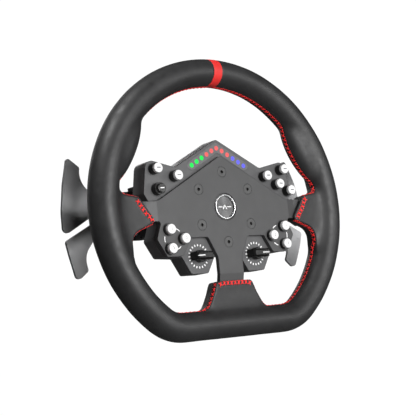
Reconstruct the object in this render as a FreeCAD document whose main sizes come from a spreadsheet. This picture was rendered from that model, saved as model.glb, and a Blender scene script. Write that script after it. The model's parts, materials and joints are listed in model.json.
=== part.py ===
import FreeCAD, Part
import math
import os
import Sketcher

# Racing wheel, in millimetres.  +Z is up and -Y faces the driver.  The wheel turns about the Y axis, and
# the origin is the centre of the quick-release socket's rear face, where the wheel meets its shaft.
# Everything on the hub is set out from the front face of the hub plate, which lies hub_depth in front.

doc = FreeCAD.newDocument("racing_wheel")
sheet = doc.addObject("Spreadsheet::Sheet", "sizes")
nodes = []


# ---------------------------------------------------------------- sizes and sketches

class Size:
    """A number together with the spreadsheet expression that gives it."""

    def __init__(self, value, text):
        self.value = float(value)
        self.text = text

    def __add__(self, other):
        other = as_size(other)
        return Size(self.value + other.value, f"({self.text} + {other.text})")

    def __sub__(self, other):
        other = as_size(other)
        return Size(self.value - other.value, f"({self.text} - {other.text})")

    def __mul__(self, other):
        other = as_size(other)
        return Size(self.value * other.value, f"({self.text} * {other.text})")

    def __truediv__(self, other):
        other = as_size(other)
        return Size(self.value / other.value, f"({self.text} / {other.text})")

    def __radd__(self, other):
        return as_size(other) + self

    def __rsub__(self, other):
        return as_size(other) - self

    def __rmul__(self, other):
        return as_size(other) * self

    def __neg__(self):
        return Size(-self.value, f"(-1 * {self.text})")


def as_size(number):
    return number if isinstance(number, Size) else Size(number, f"({number})")


def cosine(angle):
    angle = as_size(angle)
    return Size(math.cos(math.radians(angle.value)), f"cos({angle.text} * 1 deg)")


def sine(angle):
    angle = as_size(angle)
    return Size(math.sin(math.radians(angle.value)), f"sin({angle.text} * 1 deg)")


def size(alias, value):
    """A driving dimension: one row of the sheet."""
    size.row += 1
    sheet.set(f"A{size.row}", alias)
    sheet.set(f"B{size.row}", str(value))
    sheet.setAlias(f"B{size.row}", alias)
    return Size(value, f"sizes.{alias}")


size.row = 0


def bind(thing, **properties):
    """Tie properties to sizes; a double underscore in a name stands for a dot."""
    for name, value in properties.items():
        thing.setExpression(name.replace("__", "."), as_size(value).text)


def dimension(sketch, kind, *where):
    *where, value = where
    index = sketch.addConstraint(Sketcher.Constraint(kind, *where, value.value))
    sketch.setExpression(f"Constraints[{index}]", value.text)


def place_point(sketch, curve, end, x, z):
    dimension(sketch, "DistanceX", -1, 1, curve, end, as_size(x))
    dimension(sketch, "DistanceY", -1, 1, curve, end, as_size(z))


def circle(x, z, radius):
    """Draws a circle in a sketch."""
    def draw(sketch):
        centre = FreeCAD.Vector(as_size(x).value, as_size(z).value, 0)
        index = sketch.addGeometry(Part.Circle(centre, FreeCAD.Vector(0, 0, 1), as_size(radius).value))
        place_point(sketch, index, 3, x, z)
        dimension(sketch, "Radius", index, as_size(radius))
    return draw


def corner_arc(before, corner, after, radius):
    """The arc that rounds one corner, and its two ends in the order they are met."""
    back = (before - corner).normalize()
    on = (after - corner).normalize()
    half = back.getAngle(on) / 2
    centre = corner + (back + on).normalize() * (radius / math.sin(half))
    start = corner + back * (radius / math.tan(half))
    end = corner + on * (radius / math.tan(half))
    left_turn = back.cross(on).z < 0
    first, last = (start, end) if left_turn else (end, start)
    low = math.atan2(first.y - centre.y, first.x - centre.x)
    high = math.atan2(last.y - centre.y, last.x - centre.x)
    if high < low:
        high += 2 * math.pi
    arc = Part.ArcOfCircle(Part.Circle(centre, FreeCAD.Vector(0, 0, 1), radius), low, high)
    return arc, start, end, (1, 2) if left_turn else (2, 1)


def outline(points):
    """Draws a closed outline in a sketch; each point is (x, z) or (x, z, corner radius)."""
    def draw(sketch):
        count = len(points)
        spots = [FreeCAD.Vector(as_size(p[0]).value, as_size(p[1]).value, 0) for p in points]
        starts, ends, arcs = list(spots), list(spots), {}
        for i, point in enumerate(points):
            if len(point) == 3:
                radius = as_size(point[2])
                after = spots[(i + 1) % count]
                arc, start, end, order = corner_arc(spots[i - 1], spots[i], after, radius.value)
                index = sketch.addGeometry(arc)
                dimension(sketch, "Radius", index, radius)
                ends[i], starts[i], arcs[i] = start, end, (index, order)
        lines = [sketch.addGeometry(Part.LineSegment(starts[i], ends[(i + 1) % count])) for i in range(count)]
        for i, point in enumerate(points):
            before, after = lines[i - 1], lines[i]
            if i not in arcs:
                sketch.addConstraint(Sketcher.Constraint("Coincident", before, 2, after, 1))
                place_point(sketch, after, 1, point[0], point[1])
                continue
            arc, (first, last) = arcs[i]
            corner = sketch.addGeometry(Part.Point(spots[i]), True)
            place_point(sketch, corner, 1, point[0], point[1])
            sketch.addConstraint(Sketcher.Constraint("PointOnObject", corner, 1, before))
            sketch.addConstraint(Sketcher.Constraint("PointOnObject", corner, 1, after))
            sketch.addConstraint(Sketcher.Constraint("Tangent", before, 2, arc, first))
            sketch.addConstraint(Sketcher.Constraint("Tangent", after, 1, arc, last))
    return draw


def rim_line(radius, corner, flat):
    """Draws a circle with a flat bottom and rounded corners, centred on the origin."""
    def draw(sketch):
        big, small, low = as_size(radius), as_size(corner), -as_size(flat)
        up = FreeCAD.Vector(0, 0, 1)
        z = low.value + small.value
        x = math.sqrt((big.value - small.value) ** 2 - z ** 2)
        turn = math.atan2(z, x)
        top = sketch.addGeometry(
            Part.ArcOfCircle(Part.Circle(FreeCAD.Vector(), up, big.value), turn, math.pi - turn))
        right = sketch.addGeometry(
            Part.ArcOfCircle(Part.Circle(FreeCAD.Vector(x, z, 0), up, small.value), -math.pi / 2, turn))
        bottom = sketch.addGeometry(
            Part.LineSegment(FreeCAD.Vector(-x, low.value, 0), FreeCAD.Vector(x, low.value, 0)))
        left = sketch.addGeometry(
            Part.ArcOfCircle(Part.Circle(FreeCAD.Vector(-x, z, 0), up, small.value),
                             math.pi - turn, math.pi * 1.5))
        sketch.addConstraint(Sketcher.Constraint("Coincident", top, 3, -1, 1))
        for first, second in ((right, top), (bottom, right), (left, bottom), (top, left)):
            sketch.addConstraint(Sketcher.Constraint("Tangent", first, 2, second, 1))
        sketch.addConstraint(Sketcher.Constraint("Equal", right, left))
        sketch.addConstraint(Sketcher.Constraint("Horizontal", bottom))
        dimension(sketch, "Radius", top, big)
        dimension(sketch, "Radius", right, small)
        dimension(sketch, "DistanceY", -1, 1, bottom, 1, low)
    return draw


def both_sides(points):
    """A whole outline from its right half, listed from the top of the centre line to the bottom."""
    left = [(-p[0],) + tuple(p[1:]) for p in reversed(points) if as_size(p[0]).value > 1e-6]
    return points + left


# ---------------------------------------------------------------- features

def new_body(label, x=0, y=0, z=0):
    """An empty body placed at x, y, z; its label names the node."""
    body = doc.addObject("PartDesign::Body", label)
    body.Label = label
    bind(body, Placement__Base__x=x, Placement__Base__y=y, Placement__Base__z=z)
    nodes.append(body)
    return body


def origin_feature(body, role):
    return next(feature for feature in body.Origin.OriginFeatures if feature.Role == role)


def body_sketch(body, shapes, plane, level=0):
    """A sketch at a level along the plane's own axis: Y for XZ_Plane, Z for XY_Plane, X for YZ_Plane."""
    sketch = body.newObject("Sketcher::SketchObject", "sketch")
    sketch.AttachmentSupport = (origin_feature(body, plane), "")
    sketch.MapMode = "FlatFace"
    level = as_size(level)
    bind(sketch, AttachmentOffset__Base__z=-level if plane == "XZ_Plane" else level)
    for draw in shapes:
        draw(sketch)
    return sketch


def settle(feature):
    """Works out one feature and what it stands on, and nothing else in the document."""
    feature.recompute(True)
    return feature


def solid_of(body):
    return settle(body.Tip).Shape.Volume if body.Tip else 0


def pad(body, shapes, near, thick, plane="XZ_Plane"):
    """Adds a slab that starts at near and is thick in the positive direction."""
    feature = body.newObject("PartDesign::Pad", "pad")
    feature.Profile = body_sketch(body, shapes, plane, near)
    feature.Reversed = plane == "XZ_Plane"
    bind(feature, Length=thick)
    return settle(feature)


def pocket(body, shapes, near, deep, plane="XZ_Plane"):
    """Cuts a slab that starts at near and is deep in the positive direction."""
    before = solid_of(body)
    feature = body.newObject("PartDesign::Pocket", "pocket")
    feature.Profile = body_sketch(body, shapes, plane, near)
    feature.Reversed = plane != "XZ_Plane"
    bind(feature, Length=deep)
    if solid_of(body) >= before - 1e-6:
        raise RuntimeError(f"a pocket in {body.Label} cuts nothing")
    return feature


def turn(body, points, x=0, z=0, cut=False):
    """Turns a profile of (radius, y) points about the line along Y through x, z."""
    before = solid_of(body)
    feature = body.newObject("PartDesign::Groove" if cut else "PartDesign::Revolution", "turned")
    sketch = body_sketch(body, [outline(points)], "XY_Plane", z)
    bind(sketch, AttachmentOffset__Base__x=x)
    feature.Profile = sketch
    feature.ReferenceAxis = (sketch, ["V_Axis"])
    feature.Angle = 360
    if cut and solid_of(body) >= before - 1e-6:
        raise RuntimeError(f"a groove in {body.Label} cuts nothing")
    return settle(feature)


def around(body, features, count, axis="Y_Axis"):
    """Repeats features evenly around one of the body's axes."""
    pattern = body.newObject("PartDesign::PolarPattern", "pattern")
    pattern.Originals = features
    pattern.Axis = (origin_feature(body, axis), [""])
    pattern.Angle = 360
    pattern.Occurrences = count
    body.Tip = pattern
    return settle(pattern)


def soften(body, radius, choose, chamfer=False):
    """Rounds or bevels every edge of the body that choose(edge) picks."""
    base = settle(body.Tip)
    names = [f"Edge{i}" for i, edge in enumerate(base.Shape.Edges, 1) if choose(edge)]
    if not names:
        raise RuntimeError(f"no edge to soften in {body.Label}")
    feature = body.newObject("PartDesign::Chamfer" if chamfer else "PartDesign::Fillet", "softened")
    feature.Base = (base, names)
    bind(feature, **{"Size" if chamfer else "Radius": radius})
    return settle(feature)


def at_level(y):
    """Picks edges that lie wholly in the plane at this local y."""
    return lambda edge: abs(edge.BoundBox.YMin - as_size(y).value) < 1e-4 and edge.BoundBox.YLength < 1e-4


def prism(name, shapes, near, thick, x=0, z=0):
    """A solid drawn on a plane facing the driver, from y = near to near + thick."""
    sketch = doc.addObject("Sketcher::SketchObject", f"{name}_sketch")
    sketch.Placement.Rotation = FreeCAD.Rotation(FreeCAD.Vector(1, 0, 0), 90)
    bind(sketch, Placement__Base__x=x, Placement__Base__y=near, Placement__Base__z=z)
    for draw in shapes:
        draw(sketch)
    return extrude(name, sketch, thick)


def extrude(name, flat, thick):
    solid = doc.addObject("Part::Extrusion", name)
    solid.Base = flat
    solid.DirMode = "Custom"
    solid.Dir = FreeCAD.Vector(0, 1, 0)
    solid.Solid = True
    bind(solid, LengthFwd=thick)
    return solid


def prism_inside(name, shapes, inward, near, thick):
    """A prism whose outline is moved inward by a distance."""
    sketch = prism(f"{name}_full", shapes, near, thick).Base
    flat = doc.addObject("Part::Offset2D", f"{name}_outline")
    flat.Source = sketch
    flat.Join = "Intersection"
    bind(flat, Value=-as_size(inward))
    return extrude(name, flat, thick)


def fuse(name, *solids):
    joined = doc.addObject("Part::MultiFuse", name)
    joined.Shapes = list(solids)
    return joined


def cut(name, base, *tools):
    tool = tools[0] if len(tools) == 1 else fuse(f"{name}_tools", *tools)
    result = doc.addObject("Part::Cut", name)
    result.Base = base
    result.Tool = tool
    return result


def node(solid, label):
    """Marks a Part object as one of the pieces."""
    solid.Label = label
    nodes.append(solid)
    return solid


# ---------------------------------------------------------------- driving dimensions

hub_depth = size("hub_depth", 88)              # plate's front face to the socket's rear face
fit_gap = size("fit_gap", 0.05)                # radial clearance of everything that slides or turns
seat_gap = size("seat_gap", 0.3)               # clearance round a piece that only sits in its hole

plate_thickness = size("plate_thickness", 5)
plate_apex_z = size("plate_apex_z", 51.4)
plate_shoulder_x = size("plate_shoulder_x", 79)
spoke_top_z = size("spoke_top_z", 6.65)
spoke_bottom_z = size("spoke_bottom_z", -12.9)
spoke_bend_x = size("spoke_bend_x", 81)        # where the side spokes start to step back
low_spoke_half = size("low_spoke_half", 14.7)
low_spoke_bend_z = size("low_spoke_bend_z", -66)
bend_length = size("bend_length", 10)

bolt_radius = size("bolt_radius", 35)          # six bolts on a 70 mm circle
bolt_size = size("bolt_size", 5)
bolt_head = size("bolt_head", 10)
bolt_length = size("bolt_length", 16)
badge_radius = size("badge_radius", 12.5)
badge_groove = size("badge_groove", 1.2)
badge_sink = size("badge_sink", 1.8)

rim_radius = size("rim_radius", 136.3)         # centre line of the grip
rim_corner = size("rim_corner", 39)
rim_flat = size("rim_flat", 114.6)
rim_mid = size("rim_mid", 5.05)                # grip's mid plane behind the plate's front face
grip_width = size("grip_width", 28)
grip_depth = size("grip_depth", 34.3)
leather = size("leather", 1.3)
ring_width = size("ring_width", 12)
stripe_width = size("stripe_width", 10)
seam_width = size("seam_width", 0.2)           # slit between two panels of the leather
thumb_angle = size("thumb_angle", 28)
thumb_swell = size("thumb_swell", 11)
thumb_length = size("thumb_length", 42)
boss_depth = size("boss_depth", 16.1)
boss_fillet = size("boss_fillet", 13)          # where a side spoke's cover runs down into the rim

face_wall = size("face_wall", 2)
side_wall = size("side_wall", 2.2)
seam_depth = size("seam_depth", 4)             # front shell's depth
housing_depth = size("housing_depth", 20.4)
housing_apex_z = size("housing_apex_z", 68.8)
valley_x = size("valley_x", 52.3)
valley_z = size("valley_z", 40.1)
upper_pod_x = size("upper_pod_x", 91)
upper_pod_top_z = size("upper_pod_top_z", 48)
upper_pod_low_z = size("upper_pod_low_z", 7.2)
lower_pod_x = size("lower_pod_x", 84)
lower_pod_z = size("lower_pod_z", -30)
lower_pod_low_z = size("lower_pod_low_z", -47)
pod_neck_x = size("pod_neck_x", 77.5)
pod_low_x = size("pod_low_x", 74)
dial_x = size("dial_x", 34.9)
dial_z = size("dial_z", -47.5)
dial_radius = size("dial_radius", 19.6)        # hexagonal dial face, across its corners
dial_gap = size("dial_gap", 1)
vent_start = size("vent_start", 6)
vent_pitch = size("vent_pitch", 2.5)
vent_width = size("vent_width", 1.1)
vent_depth = size("vent_depth", 0.9)

light_pitch_x = size("light_pitch_x", 6.44)
light_pitch_z = size("light_pitch_z", 3.7)
light_top_z = size("light_top_z", 60.8)
light_radius = size("light_radius", 2.4)
window_half = size("window_half", 5.2)

board_gap = size("board_gap", 1)
board_room = size("board_room", 6.5)           # from the plate's back to the board's front face
board_thickness = size("board_thickness", 1.6)
adapter_radius = size("adapter_radius", 38.8)
adapter_depth = size("adapter_depth", 25)
base_thickness = size("base_thickness", 10)

cap_radius = size("cap_radius", 4.8)
cap_travel = size("cap_travel", 1.5)
cap_top_upper = size("cap_top_upper", 5.4)     # in front of the plate's front face
cap_top_lower = size("cap_top_lower", 6.5)
cap_show = size("cap_show", 3.4)               # how much of a cap stands clear of its sleeve
plunger_radius = size("plunger_radius", 2.5)
sleeve_wall = size("sleeve_wall", 0.55)
sleeve_neck = size("sleeve_neck", 4.2)
switch_height = size("switch_height", 4.3)
switch_stem = size("switch_stem", 0.6)
switch_half = size("switch_half", 2.6)         # half the switch's square body
button_outer_x = size("button_outer_x", 78.3)
button_outer_z = size("button_outer_z", 37.9)
button_inner_x = size("button_inner_x", 55.4)
button_inner_z = size("button_inner_z", 31)
button_middle_x = size("button_middle_x", 70.8)
button_middle_z = size("button_middle_z", 22.7)
button_low_x = size("button_low_x", 85)
button_low_z = size("button_low_z", 16)
menu_x = size("menu_x", -76.3)
menu_z = size("menu_z", 18.4)
menu_cap_radius = size("menu_cap_radius", 4.6)
menu_sleeve_radius = size("menu_sleeve_radius", 6)
trio_radius = size("trio_radius", 10.6)
trio_x = size("trio_x", 65.3)
trio_z = size("trio_z", -30.3)

knob_skirt = size("knob_skirt", 6)
knob_bar = size("knob_bar", 10)
knob_top = size("knob_top", 7.4)
knob_lift = size("knob_lift", 0.6)             # knob's underside above the dial face
shaft_radius = size("shaft_radius", 3)

hinge_x = size("hinge_x", 70)
hinge_y = size("hinge_y", 53)
hinge_radius = size("hinge_radius", 2)
barrel_radius = size("barrel_radius", 5)
lug_half = size("lug_half", 6.8)
lug_height = size("lug_height", 4)
lug_gap = size("lug_gap", 0.15)
arm_height = size("arm_height", 19.7)
arm_middle_z = size("arm_middle_z", 1.7)       # middle of the lug between the two arms
arm_reach = size("arm_reach", 112)
arm_thickness = size("arm_thickness", 8)
blade_front = size("blade_front", 59.4)
blade_thickness = size("blade_thickness", 3)
blade_bend = size("blade_bend", 260)           # radius of the blades' curve
blade_reach = size("blade_reach", 150)
blade_tab = size("blade_tab", 15)              # height of the tab that the arm holds
tail_length = size("tail_length", 15)
magnet_radius = size("magnet_radius", 4)
magnet_height = size("magnet_height", 6)
magnet_gap = size("magnet_gap", 0.3)

flange_radius = size("flange_radius", 40)
flange_thickness = size("flange_thickness", 6)
neck_radius = size("neck_radius", 21)
socket_radius = size("socket_radius", 16)
socket_depth = size("socket_depth", 36)
collar_radius = size("collar_radius", 27)
collar_length = size("collar_length", 20)
collar_travel = size("collar_travel", 7)
ball_radius = size("ball_radius", 2.5)
contact_radius = size("contact_radius", 10)
clip_width = size("clip_width", 1.2)
spring_wire = size("spring_wire", 0.9)         # half the wire's width
spring_gap = size("spring_gap", 0.2)           # room left at either end of the spring

doc.recompute()
front = -hub_depth
back_of_plate = front + plate_thickness
board_front = plate_thickness + board_room
seam = back_of_plate + seam_depth
housing_back = back_of_plate + housing_depth
adapter_back = back_of_plate + adapter_depth
base_back = adapter_back + base_thickness
ring_front = rim_mid - plate_thickness / 2
boss_front = front + rim_mid - boss_depth / 2


# ---------------------------------------------------------------- wheel frame

def hub_plate_points():
    """The hub plate with its two lower pods, from the apex down to the bottom spoke."""
    half = dial_radius / 2 + dial_gap / 2
    top = dial_z + dial_radius * cosine(30) + dial_gap
    inner_foot = dial_z - (dial_x - half - low_spoke_half - dial_gap) * 0.2
    return both_sides([
        (0, plate_apex_z, 5),
        (plate_shoulder_x, spoke_top_z, 20),
        (spoke_bend_x, spoke_top_z),
        (spoke_bend_x, spoke_bottom_z),
        (pod_neck_x, spoke_bottom_z, 2.5),
        (lower_pod_x, lower_pod_z, 3),
        (pod_low_x, lower_pod_low_z, 3),
        (dial_x + dial_radius + dial_gap, lower_pod_low_z, 3),
        (dial_x + half, top, 3),
        (dial_x - half, top, 3),
        (low_spoke_half, inner_foot, 6),
        (low_spoke_half, low_spoke_bend_z),
    ])


def make_wheel_frame():
    """Hub plate, three joggled spokes and the ring that stiffens the grip, cut from one plate."""
    body = new_body("wheel_frame", 0, front, 0)
    pad(body, [outline(hub_plate_points())], 0, plate_thickness)
    spoke_height = spoke_top_z - spoke_bottom_z
    step = ring_front
    for side in (-1, 1):
        start, end = side * spoke_bend_x, side * (spoke_bend_x + bend_length)
        ramp = [(start, 0), (end, step), (end, step + plate_thickness), (start, plate_thickness)]
        pad(body, [outline(ramp)], spoke_bottom_z, spoke_height, "XY_Plane")
        tip = side * rim_radius
        arm = [(end, spoke_bottom_z), (tip, spoke_bottom_z), (tip, spoke_top_z), (end, spoke_top_z)]
        pad(body, [outline(arm)], step, plate_thickness)
    low = low_spoke_bend_z - bend_length
    ramp = [(0, low_spoke_bend_z), (step, low), (step + plate_thickness, low),
            (plate_thickness, low_spoke_bend_z)]
    pad(body, [outline(ramp)], -low_spoke_half, low_spoke_half * 2, "YZ_Plane")
    foot = -rim_flat
    pad(body, [outline([(-low_spoke_half, low), (-low_spoke_half, foot), (low_spoke_half, foot),
                        (low_spoke_half, low)])], step, plate_thickness)
    half = ring_width / 2
    pad(body, [rim_line(rim_radius + half, rim_corner + half, rim_flat + half),
               rim_line(rim_radius - half, rim_corner - half, rim_flat - half)], step, plate_thickness)
    sink = bolt_head / 2 + seat_gap
    shank = bolt_size / 2 + seat_gap
    hole = turn(body, [(0, 0), (sink, 0), (sink, 0.4), (shank, 0.4 + sink - shank), (shank, plate_thickness),
                       (0, plate_thickness)], 0, bolt_radius, cut=True)
    around(body, [hole], 6)
    pocket(body, [circle(0, 0, badge_radius + badge_groove)], 0, badge_sink)
    holes = [circle(x, z, cap_radius + fit_gap + sleeve_wall + seat_gap / 2) for x, z in trio_places()]
    pocket(body, holes, 0, plate_thickness)
    return body


def trio_places():
    """Centres of the three buttons on each lower pod."""
    places = []
    for side in (-1, 1):
        for angle in (60, 180, 300):
            x = trio_x + trio_radius * cosine(angle)
            places.append((side * x, trio_z + trio_radius * sine(angle)))
    return places


# ---------------------------------------------------------------- rim grip

def side_boss_points(side, skin):
    """The covered end of a side spoke, smaller all round by skin."""
    tip = rim_radius - 2
    return [
        (side * (101.5 + skin), 10.2 - skin, 4),
        (side * (85 + skin * 1.2), -14 + skin * 0.6, 3.5),
        (side * (113 + skin), -25 + skin * 0.7, boss_fillet + skin),
        (side * (112 + skin), -52),
        (side * 125, -52),
        (side * tip, 0),
        (side * 127, 24),
        (side * (118 + skin * 0.6), 13 - skin, 5),
    ]


def low_boss_points(skin):
    """The covered end of the bottom spoke, smaller all round by skin."""
    foot = -rim_flat
    return both_sides([
        (0, -73.5 - skin),
        (21.5 - skin, -73.5 - skin, 3),
        (26.5 - skin, -86, 20),
        (33 - skin, -97.5, 14),
        (41, -103 - skin),
        (41, foot),
        (0, foot),
    ])


def make_grip_blank(name, skin):
    """The whole grip, smaller all round by skin: an oval section swept round the rim, with thumb swells."""
    tube = doc.addObject("PartDesign::Body", f"{name}_tube")
    bind(tube, Placement__Base__y=front)
    path = body_sketch(tube, [rim_line(rim_radius, rim_corner, rim_flat)], "XZ_Plane", rim_mid)
    deep, wide = grip_depth / 2 - skin, grip_width / 2 - skin

    def oval(sketch):
        middle = FreeCAD.Vector(rim_mid.value, rim_radius.value, 0)
        index = sketch.addGeometry(Part.Ellipse(
            middle + FreeCAD.Vector(deep.value, 0, 0), middle + FreeCAD.Vector(0, wide.value, 0), middle))
        sketch.exposeInternalGeometry(index)
        place_point(sketch, index, 3, rim_mid, rim_radius)
        dimension(sketch, "DistanceX", index + 1, 1, index + 1, 2, deep * -2)
        dimension(sketch, "DistanceY", index + 2, 1, index + 2, 2, wide * -2)

    section = body_sketch(tube, [oval], "YZ_Plane")
    pipe = tube.newObject("PartDesign::AdditivePipe", "grip")
    pipe.Profile = section
    pipe.Spine = (path, [])
    pieces = [tube]
    for side, name_end in ((-1, "left"), (1, "right")):
        swell = doc.addObject("Part::Ellipsoid", f"{name}_thumb_{name_end}")
        middle = rim_radius - grip_width / 2 + thumb_swell * 0.42
        swell.Placement.Rotation = FreeCAD.Rotation(FreeCAD.Vector(0, -side, 0), thumb_angle.value)
        bind(swell, Radius1=thumb_length - skin, Radius2=thumb_swell * 1.42 - skin, Radius3=deep - 3,
             Placement__Base__x=side * middle * cosine(thumb_angle),
             Placement__Base__y=front + rim_mid,
             Placement__Base__z=middle * sine(thumb_angle),
             Placement__Rotation__Angle=thumb_angle)
        pieces.append(swell)
        pieces.append(prism(f"{name}_boss_{name_end}", [outline(side_boss_points(side, skin))],
                            boss_front + skin, boss_depth - skin * 2))
    pieces.append(prism(f"{name}_boss_low", [outline(low_boss_points(skin))],
                        boss_front + skin, boss_depth - skin * 2))
    return fuse(name, *pieces)


def make_grip(frame):
    foam_blank = make_grip_blank("foam_blank", leather)
    cover_blank = make_grip_blank("cover_blank", as_size(0))
    node(cut("grip_foam", foam_blank, frame), "grip_foam")
    cover = cut("cover_shell", cover_blank, foam_blank, frame)
    half = stripe_width / 2
    top = rim_radius + grip_width
    band = prism("stripe_space", [outline([(-half, 0), (half, 0), (half, top), (-half, top)])],
                 front - grip_depth, grip_depth * 2)
    node(cut("grip_leather", cover, band, make_seams()), "grip_leather")
    stripe = doc.addObject("Part::Common", "centre_stripe")
    stripe.Base = cover
    stripe.Tool = band
    node(stripe, "centre_stripe")


def make_seams():
    """Thin radial slits where the cover's panels meet, at angles from the hub."""
    seams = doc.addObject("PartDesign::Body", "seams")
    bind(seams, Placement__Base__y=front - grip_depth)
    near, far, half = rim_radius - grip_width * 2, rim_radius + grip_width * 1.5, seam_width / 2
    slits = []
    for angle in (72, 54, 36, 18, -20, -36, -50, -66):
        for side in (-1, 1):
            along = (side * cosine(angle), sine(angle))
            over = (along[1] * half, along[0] * -half)
            slits.append(outline([
                (along[0] * near + over[0], along[1] * near + over[1]),
                (along[0] * far + over[0], along[1] * far + over[1]),
                (along[0] * far - over[0], along[1] * far - over[1]),
                (along[0] * near - over[0], along[1] * near - over[1])]))
    pad(seams, slits, 0, grip_depth * 2)
    return seams


# ---------------------------------------------------------------- hub housing

def housing_points():
    """The housing seen from the front: two upper pods, two lower pods and the dial lobes."""
    return both_sides([
        (0, housing_apex_z, 4),
        (valley_x, valley_z, 6),
        (upper_pod_x - 5.5, upper_pod_top_z, 8),
        (upper_pod_x, 14.3, 2),
        (upper_pod_x - 4, upper_pod_low_z, 1.5),
        (pod_neck_x - 0.5, upper_pod_low_z),
        (pod_neck_x - 0.5, spoke_bottom_z),
        (lower_pod_x - 0.5, lower_pod_z, 3),
        (pod_low_x - 0.4, lower_pod_low_z + 0.5, 3),
        (dial_x + dial_radius, dial_z, 1),
        (dial_x + dial_radius / 2, dial_z - dial_radius * cosine(30), 3),
        (dial_x - dial_radius / 2, dial_z - dial_radius * cosine(30), 3),
        (dial_x - dial_radius, dial_z, 1),
        (0, dial_z),
    ])


def window_points():
    """The chevron strip that covers the shift lights."""
    slope = light_pitch_z / light_pitch_x
    end_x, end_z = light_pitch_x * 5, light_top_z - light_pitch_z * 5
    outer, inner = light_top_z + window_half, light_top_z - window_half
    return both_sides([
        (0, outer, 1.5),
        (end_x + 3.3, outer - slope * (end_x + 3.3), 0.8),
        (end_x + 5.8, end_z - 0.9, 0.8),
        (end_x + 3.5, end_z - 3.7, 0.8),
        (end_x - 0.7, inner - slope * (end_x - 0.7), 0.8),
        (0, inner, 1.5),
    ])


def light_places(first, last):
    """Centres of the shift lights from first to last, counted from -5 to 5."""
    places = []
    for i in range(first, last + 1):
        drop = light_pitch_z * abs(i) if i else as_size(0.95)
        places.append((light_pitch_x * i, light_top_z - drop))
    return places


def upper_places():
    """Centres of the white buttons on the upper pods, by name."""
    return {
        "left_outer": (-button_outer_x, button_outer_z),
        "left_inner": (-button_inner_x, button_inner_z),
        "right_outer": (button_outer_x, button_outer_z),
        "right_inner": (button_inner_x, button_inner_z),
        "right_middle": (button_middle_x, button_middle_z),
        "right_low": (button_low_x, button_low_z),
    }


def screw_places():
    """Centres of the screws that close the housing."""
    right = [(14, 45.2), (valley_x + 29, button_outer_z - 11), (lower_pod_x - 10.5, lower_pod_z - 0.3),
             (dial_x + 8, dial_z - 9)]
    return right + [(-x, z) for x, z in right]


def make_housing():
    dial_holes = [circle(side * dial_x, dial_z, shaft_radius + 0.5 + seat_gap) for side in (-1, 1)]
    sleeve_holes = [circle(x, z, sleeve_neck + seat_gap / 2) for x, z in upper_places().values()]
    sleeve_holes.append(circle(menu_x, menu_z, sleeve_neck + seat_gap / 2))
    plunger_holes = [circle(x, z, plunger_radius + seat_gap) for x, z in trio_places()]
    opening = circle(0, 0, adapter_radius + seat_gap)
    shell = prism("front_shell", [outline(housing_points())], back_of_plate, seam_depth)
    hollow = prism_inside("front_hollow", [outline(housing_points())], side_wall,
                          back_of_plate + face_wall, seam_depth)
    holes = prism("front_holes", dial_holes + sleeve_holes + plunger_holes + [opening],
                  back_of_plate, seam_depth)
    window = prism("window_space", [outline(window_points())], back_of_plate, face_wall)
    post_length = board_front + board_thickness + 2 - plate_thickness - face_wall
    posts = prism("front_posts", [circle(x, z, 3.2) for x, z in screw_places()],
                  back_of_plate + face_wall, post_length)
    threads = prism("front_threads", [circle(x, z, 1.25) for x, z in screw_places()],
                    back_of_plate + face_wall, post_length)
    skin = cut("front_skin", shell, hollow, holes, window)
    front_shell = fuse("front_whole", skin, posts)
    node(cut("front_housing", front_shell, threads), "front_housing")

    deep = housing_back - seam
    rear = prism("rear_shell", [outline(housing_points())], seam, deep)
    rear_hollow = prism_inside("rear_hollow", [outline(housing_points())], side_wall, seam, deep - side_wall)
    post_start = back_of_plate + face_wall + post_length
    rear_posts = prism("rear_posts", [circle(x, z, 3.2) for x, z in screw_places()],
                       post_start, housing_back - post_start)
    shanks = prism("rear_holes", [circle(x, z, 1.6) for x, z in screw_places()] + [opening], seam, deep)
    heads = prism("rear_recesses", [circle(x, z, 2.9) for x, z in screw_places()], housing_back - 2.4, 2.4)
    rear_skin = cut("rear_skin", rear, rear_hollow)
    rear_whole = fuse("rear_whole", rear_skin, rear_posts)
    node(cut("rear_housing", rear_whole, shanks, heads, make_vents(-1), make_vents(1)), "rear_housing")

    window_cuts = [circle(x, z, light_radius) for x, z in light_places(-5, 5)]
    window = [outline(window_points())] + window_cuts
    node(prism("led_window", window, back_of_plate, face_wall), "led_window")
    light_length = board_front - plate_thickness
    for label, first, last in (("lights_green", -5, -3), ("lights_red", -2, 2), ("lights_blue", 3, 5)):
        lights = new_body(label, 0, back_of_plate, 0)
        pad(lights, [circle(x, z, light_radius) for x, z in light_places(first, last)], 0, light_length)

    board = prism_inside("board_blank", [outline(housing_points())], side_wall + board_gap,
                         front + board_front, board_thickness)
    board_holes = [circle(x, z, 3.2 + seat_gap) for x, z in screw_places()]
    board_holes.append(circle(0, 0, adapter_radius + board_gap))
    board_cuts = prism("board_cuts", board_holes, front + board_front, board_thickness)
    node(cut("main_board", board, board_cuts), "main_board")

    screws = new_body("housing_screws", 0, housing_back, 0)
    pad(screws, [circle(x, z, 2.6) for x, z in screw_places()], -2.3, 2)
    shank_length = housing_depth - face_wall - 2.8
    pad(screws, [circle(x, z, 1.25) for x, z in screw_places()], -2.3 - shank_length, shank_length)


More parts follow.
